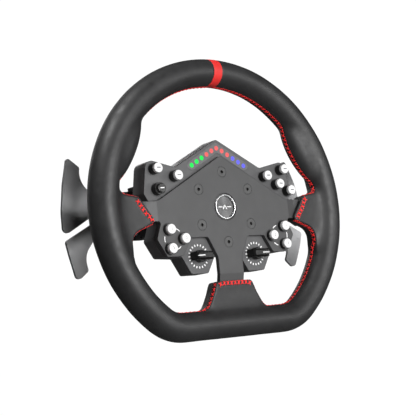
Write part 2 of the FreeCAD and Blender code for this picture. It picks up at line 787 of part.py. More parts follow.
def make_vents(side):
    """Shallow slots across a sloping top wall, repeated down the slope from the apex."""
    vents = doc.addObject("PartDesign::Body", "vents")
    bind(vents, Placement__Base__y=front)
    slope = math.degrees(math.atan2(housing_apex_z.value - valley_z.value, valley_x.value))
    half, inner, outer = vent_width / 2, -side * vent_depth, side * vent_depth * 2
    slot = outline([(vent_start - half, inner), (vent_start + half, inner), (vent_start + half, outer),
                    (vent_start - half, outer)])
    feature = pad(vents, [slot], plate_thickness + seam_depth + 2.5, housing_depth - seam_depth - 5)
    sketch = feature.Profile[0]
    bind(sketch, AttachmentOffset__Base__y=housing_apex_z)
    sketch.AttachmentOffset = FreeCAD.Placement(
        sketch.AttachmentOffset.Base,
        FreeCAD.Rotation(FreeCAD.Vector(0, 0, 1), -slope if side > 0 else 180 + slope))
    row = vents.newObject("PartDesign::LinearPattern", "row")
    row.Originals = [feature]
    row.Direction = (sketch, ["H_Axis"])
    row.Occurrences = 17
    bind(row, Length=vent_pitch * 16)
    vents.Tip = row
    return vents


# ---------------------------------------------------------------- hub fixings, badge and adapter

def hexagon(x, z, radius):
    """Draws a hexagon with a corner straight to the side."""
    return outline([(x + radius * cosine(60 * i), z + radius * sine(60 * i)) for i in range(6)])


def make_hub():
    screws = new_body("hub_screws", 0, front, 0)
    head, shank = bolt_head / 2, bolt_size / 2
    cone = head - shank + 0.5
    screw = turn(screws, [(0, 0.15), (head, 0.15), (head, 0.5), (shank, cone), (shank, bolt_length),
                          (0, bolt_length)], 0, bolt_radius)
    socket = pocket(screws, [hexagon(0, bolt_radius, bolt_size * 0.36)], 0, 2.4)
    around(screws, [screw, socket], 6)

    ring = new_body("badge_ring", 0, front, 0)
    inner = badge_radius - 1.8
    turn(ring, [(inner, -0.2, 0.15), (inner + 0.7, -0.8, 0.3), (badge_radius - 0.6, -0.8, 0.3),
                (badge_radius, -0.2, 0.15), (badge_radius, badge_sink), (inner, badge_sink)])
    disc = new_body("badge_disc", 0, front, 0)
    pad(disc, [circle(0, 0, inner)], 0.9, badge_sink - 0.9)

    adapter = new_body("hub_adapter", 0, back_of_plate, 0)
    turn(adapter, [(14, 0), (adapter_radius, 0), (adapter_radius, adapter_depth, 1), (14, adapter_depth)])
    thread = bolt_length - plate_thickness + 2
    hole = pocket(adapter, [circle(0, bolt_radius, bolt_size / 2)], 0, thread)
    around(adapter, [hole], 6)
    back_hole = pocket(adapter, [circle(bolt_radius, 0, bolt_size / 2)], adapter_depth - thread, thread)
    around(adapter, [back_hole], 6)


# ---------------------------------------------------------------- buttons, switches and dials

def sleeve_points(outer, bore, top, seat, neck, end, floor):
    """Half section of a button sleeve: ribbed barrel, neck through the panel, stepped bore."""
    points = [(plunger_radius + fit_gap, floor), (bore, floor), (bore, top), (outer, top)]
    ribs, rib = 3, 0.45
    pitch = (seat - top) / ribs
    for i in range(ribs):
        start = top + pitch * i
        points += [(outer, start + pitch - rib), (outer - 0.25, start + pitch - rib),
                   (outer - 0.25, start + pitch)]
        if i < ribs - 1:
            points.append((outer, start + pitch))
    points += [(neck, seat), (neck, end), (plunger_radius + fit_gap, end)]
    return points


def make_buttons():
    """Thirteen caps, each on its own, and the sleeves that guide them."""
    inside = cap_travel + seat_gap
    hidden = as_size(1.2)
    plunger_end = board_front - switch_height - cap_travel - 0.1
    bore = cap_radius + fit_gap
    sleeves = new_body("button_sleeves", 0, front, 0)
    top = cap_show - cap_top_upper
    switch_top = board_front - switch_height + switch_stem
    sleeve_end = switch_top - seat_gap
    for x, z in upper_places().values():
        turn(sleeves, sleeve_points(bore + sleeve_wall, bore, top, plate_thickness, sleeve_neck, sleeve_end,
                                    top + hidden + inside), x, z)
    menu_bore = menu_cap_radius + fit_gap
    turn(sleeves, sleeve_points(menu_sleeve_radius, menu_bore, top, plate_thickness, sleeve_neck, sleeve_end,
                                top + hidden + inside), menu_x, menu_z)
    rings = new_body("lower_button_rings", 0, front, 0)
    low_top = cap_show - cap_top_lower
    neck = bore + sleeve_wall
    for x, z in trio_places():
        turn(rings, sleeve_points(neck + 0.5, bore, low_top, as_size(0), neck, plate_thickness,
                                  low_top + hidden + inside), x, z)
    places = []
    for name, (x, z) in upper_places().items():
        places.append((f"button_{name}", x, z, cap_top_upper, cap_radius))
    places.append(("button_menu", menu_x, menu_z, cap_top_upper, menu_cap_radius))
    names = ["left_upper", "left_side", "left_lower", "right_upper", "right_side", "right_lower"]
    for name, (x, z) in zip(names, trio_places()):
        places.append((f"trio_{name}", x, z, cap_top_lower, cap_radius))
    for label, x, z, proud, radius in places:
        cap = new_body(label, x, front - proud, z)
        skirt = cap_show + hidden
        turn(cap, [(0, 0), (radius, 0, 0.9), (radius, skirt), (plunger_radius, skirt),
                   (plunger_radius, plunger_end + proud), (0, plunger_end + proud)])

    switches = new_body("tact_switches", 0, front, 0)
    spots = [place[1:3] for place in places]
    half = switch_half
    corners = [(-half, -half), (half, -half), (half, half), (-half, half)]
    squares = [outline([(x + across, z + up) for across, up in corners]) for x, z in spots]
    pad(switches, squares, switch_top, board_front - switch_top)
    pad(switches, [circle(x, z, 1.75) for x, z in spots], board_front - switch_height, switch_stem)


def make_dials():
    encoders = new_body("rotary_encoders", 0, front, 0)
    start = plate_thickness + face_wall + 0.2
    squares = []
    for side in (-1, 1):
        x, z = side * dial_x, dial_z
        squares.append(outline([(x - 6, z - 6), (x + 6, z - 6), (x + 6, z + 6), (x - 6, z + 6)]))
    pad(encoders, squares, start, board_front - start)
    bush = [circle(side * dial_x, dial_z, shaft_radius + 0.5) for side in (-1, 1)]
    pad(encoders, bush, plate_thickness - knob_lift / 2, start - plate_thickness + knob_lift / 2)
    bore = [circle(side * dial_x, dial_z, shaft_radius - 0.5 + fit_gap) for side in (-1, 1)]
    pocket(encoders, bore, plate_thickness - knob_lift / 2, 5)
    for side, end in ((-1, "left"), (1, "right")):
        shaft = new_body(f"dial_shaft_{end}", side * dial_x, front, dial_z)
        pad(shaft, [circle(0, 0, shaft_radius - 0.5)], -4, plate_thickness + 8)
        knob = new_body(f"dial_knob_{end}", side * dial_x, front, dial_z)
        under = plate_thickness - knob_lift
        turn(knob, [(0, -1), (knob_skirt, -1, 0.8), (knob_skirt, under), (0, under)])
        pad(knob, [outline([(-knob_bar, -4), (knob_bar, -4), (knob_bar, 4), (-knob_bar, 4)])],
            -knob_top, knob_top + under - 0.4)
        soften(knob, 1.8, at_level(-knob_top), chamfer=True)
        pocket(knob, [circle(0, 0, shaft_radius - 0.5)], -4, knob_top + plate_thickness)


# ---------------------------------------------------------------- paddles

def arm_levels():
    """The lowest z of each arm."""
    above = arm_middle_z + lug_height / 2 + lug_gap
    below = arm_middle_z - lug_height / 2 - lug_gap - arm_height
    return {"shift": above, "clutch": below}


def blade_points(kind, side):
    """A blade seen from the driver's side, with the tab that the arm holds."""
    low = arm_levels()[kind] + (arm_height - blade_tab) / 2
    high = low + blade_tab
    tab = hinge_x + 12
    edge = blade_reach
    if kind == "shift":
        points = [
            (tab, high, 2), (edge - 36, high, 8), (edge - 21.3, 36.5, 20), (edge - 24.7, 49.6, 3),
            (edge - 12.3, 60.2, 2.5), (edge - 4, 33, 60), (edge + 0.2, 6, 60), (edge - 0.6, -17.6, 5),
            (edge - 41.6, low, 8), (tab, low, 2),
        ]
    else:
        points = [
            (tab, low, 2), (edge - 36, low, 8), (edge - 21.2, -37, 18), (edge - 25.7, -51.3, 3),
            (edge - 13.2, -61.6, 4.5), (edge - 5, -36.1, 60), (edge - 1.5, -22.2, 3.5),
            (edge - 37.9, high, 8), (tab, high, 2),
        ]
    return [(side * p[0],) + tuple(p[1:]) for p in points]


def make_base():
    """The plate behind the housing that carries the paddles on four pairs of lugs."""
    base = new_body("paddle_base", 0, adapter_back, 0)
    top = arm_middle_z + lug_height * 1.5 + lug_gap * 2 + arm_height
    low = arm_middle_z - lug_height * 1.5 - lug_gap * 2 - arm_height
    outer = hinge_x + lug_half
    rim = flange_radius + 3
    pad(base, [outline(both_sides([
        (0, rim), (rim * 0.55, rim, 10), (rim, top, 8), (outer, top, 3), (outer, low, 3), (rim, low, 8),
        (rim * 0.55, -rim, 10), (0, -rim)]))], 0, base_thickness)
    levels = [low, arm_middle_z - lug_height / 2, top - lug_height]
    far = hinge_y + 6 - plate_thickness - adapter_depth
    for level in levels:
        shapes = [outline([
            (side * hinge_x - lug_half, base_thickness), (side * hinge_x + lug_half, base_thickness),
            (side * hinge_x + lug_half, far, 5), (side * hinge_x - lug_half, far, 5)]) for side in (-1, 1)]
        pad(base, shapes, level, lug_height, "XY_Plane")
    pin_y = hinge_y - plate_thickness - adapter_depth
    pins = [circle(side * hinge_x, pin_y, hinge_radius) for side in (-1, 1)]
    pocket(base, pins, low, top - low, "XY_Plane")
    pocket(base, [circle(0, 0, 14)], 0, base_thickness)
    hole = pocket(base, [circle(bolt_radius, 0, bolt_size / 2 + seat_gap)], 0, base_thickness)
    around(base, [hole], 6)

    rods = new_body("hinge_pins", 0, front, 0)
    pad(rods, [circle(side * hinge_x, hinge_y, hinge_radius) for side in (-1, 1)],
        low + 0.4, top - low - 0.8, "XY_Plane")
    magnets = new_body("paddle_magnets", 0, base_back, 0)
    spots = [(side * (hinge_x - tail_length * 0.8), level + arm_height / 2)
             for side in (-1, 1) for level in arm_levels().values()]
    pad(magnets, [circle(x, z, magnet_radius) for x, z in spots], 0, magnet_height)
    sensors = new_body("paddle_sensors", 0, base_back, 0)
    inner, wide = hinge_x - tail_length - 10, 7
    boards = [outline([(side * inner, -12), (side * (inner + wide), -12), (side * (inner + wide), 16),
                       (side * inner, 16)]) for side in (-1, 1)]
    pad(sensors, boards, 0, board_thickness)
    chips = [outline([(side * (inner + 3), z - 2), (side * (inner + 6), z - 2), (side * (inner + 6), z + 2),
                      (side * (inner + 3), z + 2)]) for side in (-1, 1) for z in (-8, 12)]
    pad(sensors, chips, board_thickness, 1.2)


def make_paddle(kind, side, end):
    """One paddle: an arm that turns on its pin, the blade on it, and two screws."""
    level = arm_levels()[kind]
    middle = level + arm_height / 2
    arm = new_body(f"{kind}_arm_{end}", side * hinge_x, front + hinge_y, level)
    face = plate_thickness + adapter_depth + base_thickness + magnet_height + magnet_gap - hinge_y
    back = blade_front - hinge_y
    reach = arm_reach - hinge_x
    inside = back - arm_thickness
    points = [(-tail_length, face, 1), (3, face), (16, inside, 6), (reach, inside, 2), (reach, back),
              (0, back), (-5, 2), (-tail_length, face + 4.2, 1)]
    pad(arm, [outline([(side * p[0],) + tuple(p[1:]) for p in points])], 0, arm_height, "XY_Plane")
    pad(arm, [circle(0, 0, barrel_radius)], 0, arm_height, "XY_Plane")
    pocket(arm, [circle(0, 0, hinge_radius + fit_gap)], 0, arm_height, "XY_Plane")
    holes = [circle(side * x, arm_height / 2, 1.25) for x in (20, 34)]
    pocket(arm, holes, back - 6, 6)

    name = f"{kind}_blade_{end}"
    flat = prism(f"{name}_flat", [outline(blade_points(kind, side))], front + blade_front - 2, 24)
    rounds = []
    for label, radius in (("outer", blade_bend), ("inner", blade_bend - blade_thickness)):
        round_bar = doc.addObject("Part::Cylinder", f"{name}_{label}")
        round_bar.Placement.Rotation = FreeCAD.Rotation(FreeCAD.Vector(0, 1, 0), 90)
        bind(round_bar, Radius=radius, Height=blade_reach * 2 + 20, Placement__Base__x=-blade_reach - 10,
             Placement__Base__y=front + blade_front + blade_bend, Placement__Base__z=middle)
        rounds.append(round_bar)
    curved = doc.addObject("Part::Common", f"{name}_curved")
    curved.Base = flat
    curved.Tool = cut(f"{name}_sheet", *rounds)
    bores = prism(f"{name}_bores", [circle(side * (hinge_x + x), middle, 1.5) for x in (20, 34)],
                  front + blade_front - 1, 8)
    node(cut(name, curved, bores), name)

    screws = new_body(f"{kind}_screws_{end}", side * hinge_x, front + blade_front, middle)
    pad(screws, [circle(side * x, 0, 2.8) for x in (20, 34)], blade_thickness + 0.05, 1.6)
    pad(screws, [circle(side * x, 0, 1.25) for x in (20, 34)], -5.5, blade_thickness + 5.55)


# ---------------------------------------------------------------- quick release

def wire_section(middle, half):
    """The spring's wire drawn with twelve narrow flats, standing across the helix at its start."""
    flats = 12
    corners = []
    for index in range(flats + 1):
        turn_by = math.tau * (index + 0.5) / flats
        corners.append(FreeCAD.Vector(middle + half * math.cos(turn_by), 0, half * math.sin(turn_by)))
    return Part.makePolygon(corners)


def make_quick_release():
    end = hub_depth - plate_thickness - adapter_depth - base_thickness
    floor = end - socket_depth
    clip = end - 2 - clip_width
    socket = new_body("qr_socket", 0, base_back, 0)
    turn(socket, [
        (contact_radius, 0), (flange_radius, 0, 0.6), (flange_radius, flange_thickness, 1),
        (neck_radius, flange_thickness, 1.5), (neck_radius, clip), (neck_radius - 1, clip),
        (neck_radius - 1, clip + clip_width), (neck_radius, clip + clip_width), (neck_radius, end, 0.5),
        (socket_radius, end), (socket_radius, floor), (contact_radius, floor)])
    bolt = pocket(socket, [circle(bolt_radius, 0, bolt_size / 2 + seat_gap)], 0, flange_thickness)
    around(socket, [bolt], 6)
    ball_y = clip - collar_length / 2
    ball_hole = pocket(socket, [circle(ball_y, 0, ball_radius + fit_gap)], socket_radius - 2,
                       neck_radius - socket_radius + 4, "YZ_Plane")
    around(socket, [ball_hole], 6)
    balls = new_body("qr_balls", 0, base_back, 0)
    middle = (socket_radius + neck_radius) / 2
    ball = balls.newObject("PartDesign::AdditiveSphere", "ball")
    bind(ball, Radius=ball_radius, AttachmentOffset__Base__x=middle, AttachmentOffset__Base__y=ball_y)
    ball.AttachmentSupport = (origin_feature(balls, "XY_Plane"), "")
    ball.MapMode = "FlatFace"
    around(balls, [ball], 6)

    collar = new_body("release_collar", 0, base_back, 0)
    bore = neck_radius + fit_gap
    start = clip - collar_length - 0.2
    stop = clip - 0.2
    turn(collar, [(bore, start), (collar_radius - 1.5, start, 0.6), (collar_radius - 1.5, start + 4),
                  (collar_radius, start + 5.5), (collar_radius, stop, 1), (bore, stop)])
    groove = pocket(collar, [circle(collar_radius + 1.6, 0, 2.6)], start + 7, collar_length)
    around(collar, [groove], 18)

    ring = new_body("collar_circlip", 0, base_back, 0)
    turn(ring, [(neck_radius - 1, clip), (neck_radius + 2, clip), (neck_radius + 2, clip + clip_width),
                (neck_radius - 1, clip + clip_width)])
    slot = [(-3, 0), (3, 0), (3, -neck_radius * 2), (-3, -neck_radius * 2)]
    pocket(ring, [outline(slot)], clip, clip_width)

    spring = doc.addObject("Part::Feature", "collar_spring")
    wire = spring_wire.value
    mean = (neck_radius + collar_radius).value / 2 - 0.5
    room = (start - flange_thickness - spring_gap * 2).value
    turns_when_closed = int((room - collar_travel.value) / (2 * wire))
    rise = room - 2 * wire
    helix = Part.makeLongHelix(rise / (turns_when_closed - 1), rise, mean)
    spring.Shape = Part.Wire(helix).makePipeShell([wire_section(mean, wire)], True, True)
    spring.Placement.Rotation = FreeCAD.Rotation(FreeCAD.Vector(1, 0, 0), -90)
    bind(spring, Placement__Base__y=base_back + flange_thickness + spring_wire + spring_gap)
    node(spring, "collar_spring")

    screws = new_body("qr_screws", 0, base_back, 0)
    length = base_thickness + bolt_length - plate_thickness
    head = pad(screws, [circle(bolt_radius, 0, bolt_size * 0.85)], flange_thickness, bolt_size)
    shank = pad(screws, [circle(bolt_radius, 0, bolt_size / 2)], -length, length + flange_thickness)
    key = pocket(screws, [hexagon(bolt_radius, 0, bolt_size * 0.46)], flange_thickness + bolt_size - 2.5, 2.5)
    around(screws, [head, shank, key], 6)

    contacts = new_body("contact_block", 0, base_back, 0)
    block_top = floor - 3
    turn(contacts, [(0, 0), (contact_radius - fit_gap, 0), (contact_radius - fit_gap, block_top, 0.6),
                    (0, block_top)])
    pin = pad(contacts, [circle(5.5, 0, 0.8)], block_top, 2.5)
    around(contacts, [pin], 8)


# ---------------------------------------------------------------- build, check and write

def write_nodes():
    doc.recompute()
    for item in doc.Objects:
        if "Invalid" in item.State or "Error" in item.State:
            raise RuntimeError(f"{item.Label} is {item.State}")
    for item in nodes:
        if item.Shape.isNull() or not item.Shape.isValid() or not item.Shape.Solids:
            raise RuntimeError(f"{item.Label} has no sound solid")
    os.makedirs("parts", exist_ok=True)
    for item in nodes:
        item.Shape.exportStep(f"parts/{item.Label}.step")
        print(item.Label, len(item.Shape.Solids), round(item.Shape.Volume, 1))


wheel_frame = make_wheel_frame()
make_grip(wheel_frame)
make_housing()
make_hub()
make_buttons()
make_dials()
make_base()
for kind in ("shift", "clutch"):
    for side, end in ((-1, "left"), (1, "right")):
        make_paddle(kind, side, end)
make_quick_release()
write_nodes()
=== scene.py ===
"""The looks of a D-shaped racing wheel with a button plate, rotary dials, rear paddles and a quick release.

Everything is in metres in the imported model's frame: origin in the middle of the quick-release
socket's rear face, -Y towards the driver, +Z up. mm turns millimetres into metres.
"""
import json
import math

import bmesh
import bpy
import numpy as np
from mathutils import Matrix, Vector, noise
from mathutils.bvhtree import BVHTree
from mathutils.kdtree import KDTree


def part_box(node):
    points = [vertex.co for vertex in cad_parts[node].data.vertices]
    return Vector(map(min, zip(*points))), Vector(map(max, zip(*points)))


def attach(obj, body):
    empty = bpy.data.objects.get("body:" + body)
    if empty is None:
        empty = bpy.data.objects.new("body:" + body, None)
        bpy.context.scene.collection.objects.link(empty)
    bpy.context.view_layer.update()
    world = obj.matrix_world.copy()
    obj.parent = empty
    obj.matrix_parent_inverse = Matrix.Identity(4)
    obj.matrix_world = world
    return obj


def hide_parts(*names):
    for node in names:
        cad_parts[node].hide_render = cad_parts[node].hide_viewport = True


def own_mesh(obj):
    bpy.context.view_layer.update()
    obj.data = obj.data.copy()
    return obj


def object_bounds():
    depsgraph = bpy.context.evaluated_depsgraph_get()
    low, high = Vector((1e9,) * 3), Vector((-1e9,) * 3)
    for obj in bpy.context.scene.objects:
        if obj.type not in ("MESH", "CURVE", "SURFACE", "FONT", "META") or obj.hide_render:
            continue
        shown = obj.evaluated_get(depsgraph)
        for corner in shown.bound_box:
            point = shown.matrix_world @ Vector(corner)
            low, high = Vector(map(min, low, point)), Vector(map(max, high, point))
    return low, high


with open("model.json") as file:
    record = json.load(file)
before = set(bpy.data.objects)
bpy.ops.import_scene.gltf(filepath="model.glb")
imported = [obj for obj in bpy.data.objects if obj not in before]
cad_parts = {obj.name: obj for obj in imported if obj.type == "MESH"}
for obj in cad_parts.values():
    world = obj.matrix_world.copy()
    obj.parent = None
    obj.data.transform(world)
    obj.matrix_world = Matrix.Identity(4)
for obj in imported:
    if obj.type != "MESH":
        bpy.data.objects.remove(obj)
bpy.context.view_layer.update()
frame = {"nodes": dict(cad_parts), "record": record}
nodes = frame["nodes"]
mm = 0.001
collection = bpy.context.scene.collection
# A Mix node's colour sockets by number, because each data type has its own A, B and Result.
MIX_A, MIX_B, MIX_RESULT = 6, 7, 2

# ---------------------------------------------------------------- materials


class Shader:
    """One procedural material: a principled shader with the nodes that feed it."""

    def __init__(self, name, **sockets):
        self.material = bpy.data.materials.new(name)
        self.material.use_nodes = True
        self.tree = self.material.node_tree
        self.shader = self.tree.nodes["Principled BSDF"]
        for socket, value in sockets.items():
            self.shader.inputs[socket.replace("_", " ")].default_value = value
        self.place = self.add("ShaderNodeTexCoord").outputs["Object"]

    def add(self, kind, **values):
        node = self.tree.nodes.new(kind)
        for name, value in values.items():
            if hasattr(node, name):
                setattr(node, name, value)
            else:
                node.inputs[name.replace("_", " ")].default_value = value
        return node

    def link(self, start, end):
        self.tree.links.new(start, end)

    def stretched(self, scale, turn=(0, 0, 0)):
        """Texture coordinates in the piece's own frame, scaled per axis."""
        mapping = self.add("ShaderNodeMapping", Scale=scale, Rotation=turn)
        self.link(self.place, mapping.inputs["Vector"])
        return mapping.outputs["Vector"]

    def noise(self, size_mm, detail=3.0, where=None):
        """Cloudy noise whose lumps are about size_mm across."""
        made = self.add("ShaderNodeTexNoise", Scale=1 / (size_mm * mm), Detail=detail)
        self.link(where or self.place, made.inputs["Vector"])
        return made.outputs["Fac"]

    def cells(self, size_mm):
        """Pebbled cells about size_mm across, high in their middles."""
        made = self.add("ShaderNodeTexVoronoi", feature="DISTANCE_TO_EDGE", Scale=1 / (size_mm * mm))
        self.link(self.place, made.inputs["Vector"])
        return made.outputs["Distance"]

    def ramp(self, value, low, high, start=0.3, stop=0.7):
        """Turns a 0-1 value into a range of numbers."""
        made = self.add("ShaderNodeMapRange", From_Min=start, From_Max=stop, To_Min=low, To_Max=high)
        self.link(value, made.inputs["Value"])
        return made.outputs["Result"]

    def tint(self, value, dark, light):
        """The base colour runs from dark to light with the value."""
        made = self.add("ShaderNodeValToRGB")
        made.color_ramp.elements[0].position = 0.3
        made.color_ramp.elements[1].position = 0.7
        made.color_ramp.elements[0].color = (*dark, 1)
        made.color_ramp.elements[1].color = (*light, 1)
        self.link(value, made.inputs["Fac"])
        self.link(made.outputs["Color"], self.shader.inputs["Base Color"])

    def roughen(self, value, low, high):
        self.link(self.ramp(value, low, high), self.shader.inputs["Roughness"])

    def round_edges(self, radius_mm):
        """Shades sharp edges as if they were rounded."""
        if radius_mm:
            made = self.add("ShaderNodeBevel", Radius=radius_mm * mm)
            self.link(made.outputs["Normal"], self.shader.inputs["Normal"])

    def bump(self, value, depth_mm, strength=1.0):
        made = self.add("ShaderNodeBump", Strength=strength, Distance=depth_mm * mm)
        self.link(value, made.inputs["Height"])
        before = self.shader.inputs["Normal"]
        if before.is_linked:
            self.link(before.links[0].from_socket, made.inputs["Normal"])
        self.link(made.outputs["Normal"], before)


def near(colour, share):
    """The same colour, a share lighter or darker."""
    return tuple(min(1, max(0, part * (1 + share))) for part in colour)


def moulded(name, colour, rough, grain=0.35, depth=0.012, edge=0.0):
    """Moulded plastic with a fine spark-eroded texture and a little handling shine."""
    made = Shader(name)
    made.round_edges(edge)
    made.tint(made.noise(14, 4), near(colour, -0.1), near(colour, 0.1))
    made.roughen(made.noise(5, 5), rough - 0.05, rough + 0.07)
    made.bump(made.noise(grain, 2), depth)
    return made.material


def coated(name, colour, rough, metallic=0.0, grain=0.18, depth=0.006, edge=0.0):
    """Bead-blasted and anodised or painted metal."""
    made = Shader(name, Metallic=metallic)
    made.round_edges(edge)
    made.tint(made.noise(24, 5), near(colour, -0.06), near(colour, 0.06))
    made.roughen(made.noise(9, 5), rough - 0.04, rough + 0.05)
    made.bump(made.noise(grain, 2), depth)
    return made.material


def brushed(name, colour, rough, along=(1, 12, 12)):
    """Bare metal with fine lines drawn along one axis."""
    made = Shader(name, Metallic=1.0)
    lines = made.noise(1.2, 4, made.stretched(along))
    made.tint(lines, near(colour, -0.12), near(colour, 0.12))
    made.roughen(lines, rough - 0.08, rough + 0.08)
    made.bump(lines, 0.004)
    return made.material


def turned(name, colour, rough, pitch=0.35, depth=0.006):
    """Metal turned on a lathe about the Y axis, with its fine tool rings and fanned highlights."""
    made = Shader(name, Metallic=1.0, Anisotropic=0.85)
    fan = made.add("ShaderNodeTangent", direction_type="RADIAL", axis="Y")
    made.link(fan.outputs["Tangent"], made.shader.inputs["Tangent"])
    rings = made.add("ShaderNodeTexWave", wave_type="RINGS", rings_direction="Y",
                     Scale=1 / (pitch * mm * math.tau), Distortion=0.6, Detail=2.0)
    made.link(made.place, rings.inputs["Vector"])
    made.tint(made.noise(6, 4), near(colour, -0.08), near(colour, 0.08))
    made.roughen(rings.outputs["Fac"], rough - 0.05, rough + 0.06)
    made.bump(rings.outputs["Fac"], depth)
    return made.material


def leather(name, colour, rough):
    """Smooth automotive leather: pebble grain under a satin finish, with soft creases and worn sheen."""
    made = Shader(name, Specular_IOR_Level=0.5)
    made.tint(made.noise(18, 5), near(colour, -0.16), near(colour, 0.16))
    made.roughen(made.noise(7, 5), rough - 0.06, rough + 0.08)
    made.bump(made.cells(0.95), 0.045, 0.55)
    made.bump(made.noise(0.3, 2), 0.02, 0.5)
    made.bump(made.noise(4.5, 3), 0.09, 0.4)
    return made.material


def glowing(name, colour, strength):
    """A lit lens: bright, its strength a little uneven, under a clear surface."""
    made = Shader(name, Base_Color=(0.01, 0.01, 0.01, 1), Roughness=0.4, Specular_IOR_Level=0.1,
                  Emission_Color=(*colour, 1))
    made.link(made.ramp(made.noise(1.6, 2), strength * 0.92, strength * 1.06),
              made.shader.inputs["Emission Strength"])
    made.bump(made.noise(0.6, 2), 0.01)
    return made.material


def thread(name, colour):
    """Waxed polyester thread with its twist."""
    made = Shader(name, Roughness=0.5, Sheen_Weight=0.2)
    twist = made.noise(0.25, 2, made.stretched((1, 3, 1)))
    made.tint(twist, near(colour, -0.35), near(colour, 0.15))
    made.bump(twist, 0.06)
    return made.material


def glossed(name, colour, rough, **sockets):
    """Smooth moulded plastic that has been polished, with faint wear."""
    made = Shader(name, **sockets)
    made.tint(made.noise(8, 3), near(colour, -0.04), near(colour, 0.04))
    made.roughen(made.noise(2.5, 6), rough - 0.04, rough + 0.08)
    made.bump(made.noise(1.1, 3), 0.006)
    return made.material


def paint_socket_shade(made, level):
    """Painted shade: darkens the base colour of everything that lies behind a level y, such as the sockets in
    screw heads, where shade falls.
    """
    darkest = 0.06
    fade = 0.3 * mm
    split = made.add("ShaderNodeSeparateXYZ")
    made.link(made.place, split.inputs["Vector"])
    # Painted shade: the base colour falls to darkest behind the level.
    shade = made.ramp(split.outputs["Y"], 1.0, darkest, level, level + fade)
    darken = made.add("ShaderNodeMix", data_type="RGBA", blend_type="MULTIPLY")
    darken.inputs["Factor"].default_value = 1
    made.link(made.shader.inputs["Base Color"].links[0].from_socket, darken.inputs[MIX_A])
    made.link(shade, darken.inputs[MIX_B])
    made.link(darken.outputs[MIX_RESULT], made.shader.inputs["Base Color"])


def screw_head(name, colour, level):
    """Coated screws with painted shade in their sockets."""
    made = Shader(name, Metallic=0.3)
    made.tint(made.noise(12, 4), near(colour, -0.08), near(colour, 0.08))
    made.roughen(made.noise(4, 5), 0.45, 0.55)
    made.bump(made.noise(0.2, 2), 0.006)
    paint_socket_shade(made, level)
    return made.material


def housing_with_top_highlight(name, colour, top_highlight_colour):
    """The moulded housing, with a painted highlight: its upward-facing sloping vented tops are lightened
    towards a light grey, standing in for light from above.
    """
    highlight_from, highlight_full = 38 * mm, 40 * mm
    slope_from, slope_full = 0.72, 0.78
    made = Shader(name)
    made.round_edges(1.4)
    made.roughen(made.noise(5, 5), 0.5, 0.62)
    made.bump(made.noise(0.35, 2), 0.012)
    facing = made.add("ShaderNodeNewGeometry")
    split = made.add("ShaderNodeSeparateXYZ")
    made.link(facing.outputs["Normal"], split.inputs["Vector"])
    place = made.add("ShaderNodeSeparateXYZ")
    made.link(made.place, place.inputs["Vector"])
    # Painted highlight: a mask of upward-facing surfaces above a height, which lightens the base colour as if
    # lit from above.
    upward = made.ramp(split.outputs["Z"], 0, 1, slope_from, slope_full)
    high = made.ramp(place.outputs["Z"], 0, 1, highlight_from, highlight_full)
    both = made.add("ShaderNodeMath", operation="MULTIPLY")
    made.link(upward, both.inputs[0])
    made.link(high, both.inputs[1])
    made.tint(made.noise(14, 4), near(colour, -0.1), near(colour, 0.1))
    highlight_mix = made.add("ShaderNodeMix", data_type="RGBA")
    highlight_mix.inputs[MIX_B].default_value = (*top_highlight_colour, 1)
    made.link(both.outputs["Value"], highlight_mix.inputs["Factor"])
    made.link(made.shader.inputs["Base Color"].links[0].from_socket, highlight_mix.inputs[MIX_A])
    made.link(highlight_mix.outputs[MIX_RESULT], made.shader.inputs["Base Color"])
    return made.material


def circuit(name):
    """Green solder mask over copper tracks."""
    made = Shader(name, Roughness=0.35)
    tracks = made.add("ShaderNodeTexBrick", Scale=90.0, Mortar_Size=0.03)
    tracks.inputs["Color1"].default_value = (0.01, 0.09, 0.035, 1)
    tracks.inputs["Color2"].default_value = (0.012, 0.11, 0.045, 1)
    tracks.inputs["Mortar"].default_value = (0.03, 0.2, 0.08, 1)
    made.link(made.stretched((1, 1, 1), (math.pi / 2, 0, 0)), tracks.inputs["Vector"])
    made.link(tracks.outputs["Color"], made.shader.inputs["Base Color"])
    made.bump(tracks.outputs["Fac"], 0.03)
    return made.material


